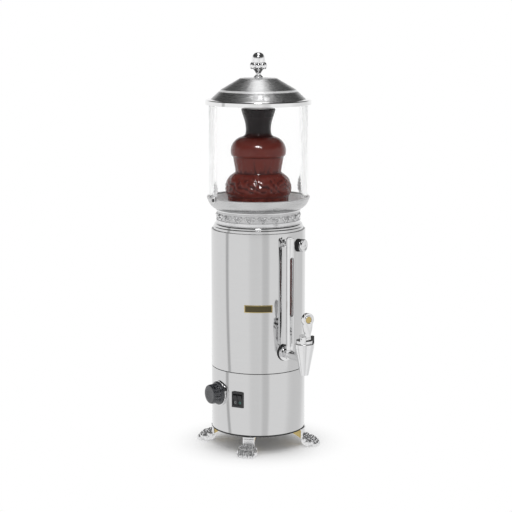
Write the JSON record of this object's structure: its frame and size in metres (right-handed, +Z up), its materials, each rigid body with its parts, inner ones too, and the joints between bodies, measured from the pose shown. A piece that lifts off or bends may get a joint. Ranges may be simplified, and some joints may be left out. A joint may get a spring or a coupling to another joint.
{
  "type": "hot chocolate dispenser machine",
  "caption": "Tall round steel hot drink dispenser on cast paw feet, with a lever tap, level gauge, controls and a chocolate fountain under a lidded glass cylinder.",
  "frame": {"origin": "on the body's vertical axis, in the plane of the table under the four feet", "axes": "+Z up along the body's axis, -Y towards the tap, +X to the right seen from the tap"},
  "size_m": [0.2269, 0.2982, 0.7979],
  "materials": {
    "polished_steel": "mirror-polished stainless sheet",
    "brushed_steel": "brushed stainless sheet",
    "chrome": "polished chrome plate",
    "cast_silver": "bright plated casting with worn relief",
    "vessel_steel": "plain stainless, dull",
    "black_rubber": "matt black rubber",
    "black_plastic": "moulded black, slight gloss",
    "bakelite": "dark marbled moulding",
    "clear_glass": "clear tube glass",
    "chocolate": "glossy melted chocolate",
    "brass": "lacquered brass",
    "motor_paint": "grey enamel",
    "steel_screw": "zinc plated"
  },
  "bodies": {
    "machine": {"base_plate": "motor_paint", "base_trim": "black_rubber", "lower_casing": "polished_steel", "seam_gasket": "black_rubber", "upper_casing": "polished_steel", "top_flange": "polished_steel", "frieze_ring": "cast_silver", "tray_bowl": "brushed_steel", "water_jacket": "vessel_steel", "chocolate_tank": "vessel_steel", "heating_element": "vessel_steel", "shaft_bush": "black_plastic", "drive_motor": "motor_paint", "motor_bracket": "vessel_steel", "fountain_tube": "vessel_steel", "lower_tier": "vessel_steel", "upper_tier": "vessel_steel", "crown_cup": "vessel_steel", "chocolate_flow": "chocolate", "tap_body": "chrome", "tap_gasket": "black_rubber", "tap_nut": "chrome", "tap_bonnet": "black_plastic", "lever_pin": "steel_screw", "gauge_guard": "chrome", "gauge_glass": "clear_glass", "gauge_chocolate": "chocolate", "gauge_top_fitting": "chrome", "gauge_nut": "chrome", "gauge_seals": "black_rubber", "filler_neck": "vessel_steel", "cap_gasket": "black_rubber", "knob_bezel": "chrome", "thermostat": "black_plastic", "switch_housing": "black_plastic", "label_plate": "brass", "cable_gland": "black_plastic", "foot_front_right": "cast_silver", "foot_rear_right": "cast_silver", "foot_rear_left": "cast_silver", "foot_front_left": "cast_silver", "leg_brackets": "brass", "leg_bolts": "steel_screw", "glass_clip_left": "cast_silver", "glass_clip_right": "cast_silver", "clip_screws": "black_plastic"},
    "lid": {"lid_shell": "brushed_steel", "lid_finial": "chrome", "finial_nut": "steel_screw"},
    "glass": {"glass_cylinder": "clear_glass"},
    "tap_lever": {"tap_lever": "chrome", "lever_badge": "brass"},
    "tap_valve": {"tap_plunger": "black_rubber"},
    "thermostat_knob": {"thermostat_knob": "bakelite"},
    "rocker_left": {"rocker_left": "black_plastic"},
    "rocker_right": {"rocker_right": "black_plastic"},
    "filler_cap": {"filler_cap": "chrome"},
    "drive": {"drive_shaft": "vessel_steel", "stirrer": "vessel_steel", "auger": "vessel_steel"}
  },
  "joints": [
    {"name": "glass_lift", "type": "slide", "parent": "machine", "child": "glass", "axis": [0, 0, 1], "range_m": [0, 0.2]},
    {"name": "lid_lift", "type": "slide", "parent": "glass", "child": "lid", "axis": [0, 0, 1], "range_m": [0, 0.12]},
    {"name": "tap_pull", "type": "hinge", "parent": "machine", "child": "tap_lever", "pos_m": [0, -0.175, 0.2505], "axis": [1, 0, 0], "range_deg": [0, 35], "stiffness_Nm_per_rad": 0.3, "springref_deg": -8.59},
    {"name": "valve_rise", "type": "slide", "parent": "machine", "child": "tap_valve", "axis": [0, 0, 1], "range_m": [0, 0.0042]},
    {"name": "thermostat_turn", "type": "hinge", "parent": "machine", "child": "thermostat_knob", "pos_m": [-0.09999, -0.00175, 0.117], "axis": [-0.9998, -0.0175, 0], "range_deg": [0, 300]},
    {"name": "rocker_left_tip", "type": "hinge", "parent": "machine", "child": "rocker_left", "pos_m": [-0.08118, -0.04358, 0.111], "axis": [-0.521, 0.8536, 0], "range_deg": [0, 22]},
    {"name": "rocker_right_tip", "type": "hinge", "parent": "machine", "child": "rocker_right", "pos_m": [-0.07587, -0.05229, 0.111], "axis": [-0.521, 0.8536, 0], "range_deg": [0, 22]},
    {"name": "filler_cap_pull", "type": "slide", "parent": "machine", "child": "filler_cap", "axis": [0.454, -0.891, 0], "range_m": [0, 0.03]},
    {"name": "drive_spin", "type": "hinge", "parent": "machine", "child": "drive", "pos_m": [0, 0, 0.3], "axis": [0, 0, 1], "continuous": true}
  ],
  "couplings": [
    {"joint": "valve_rise", "follows": "tap_pull", "m_per_rad": 0.0065481}
  ]
}
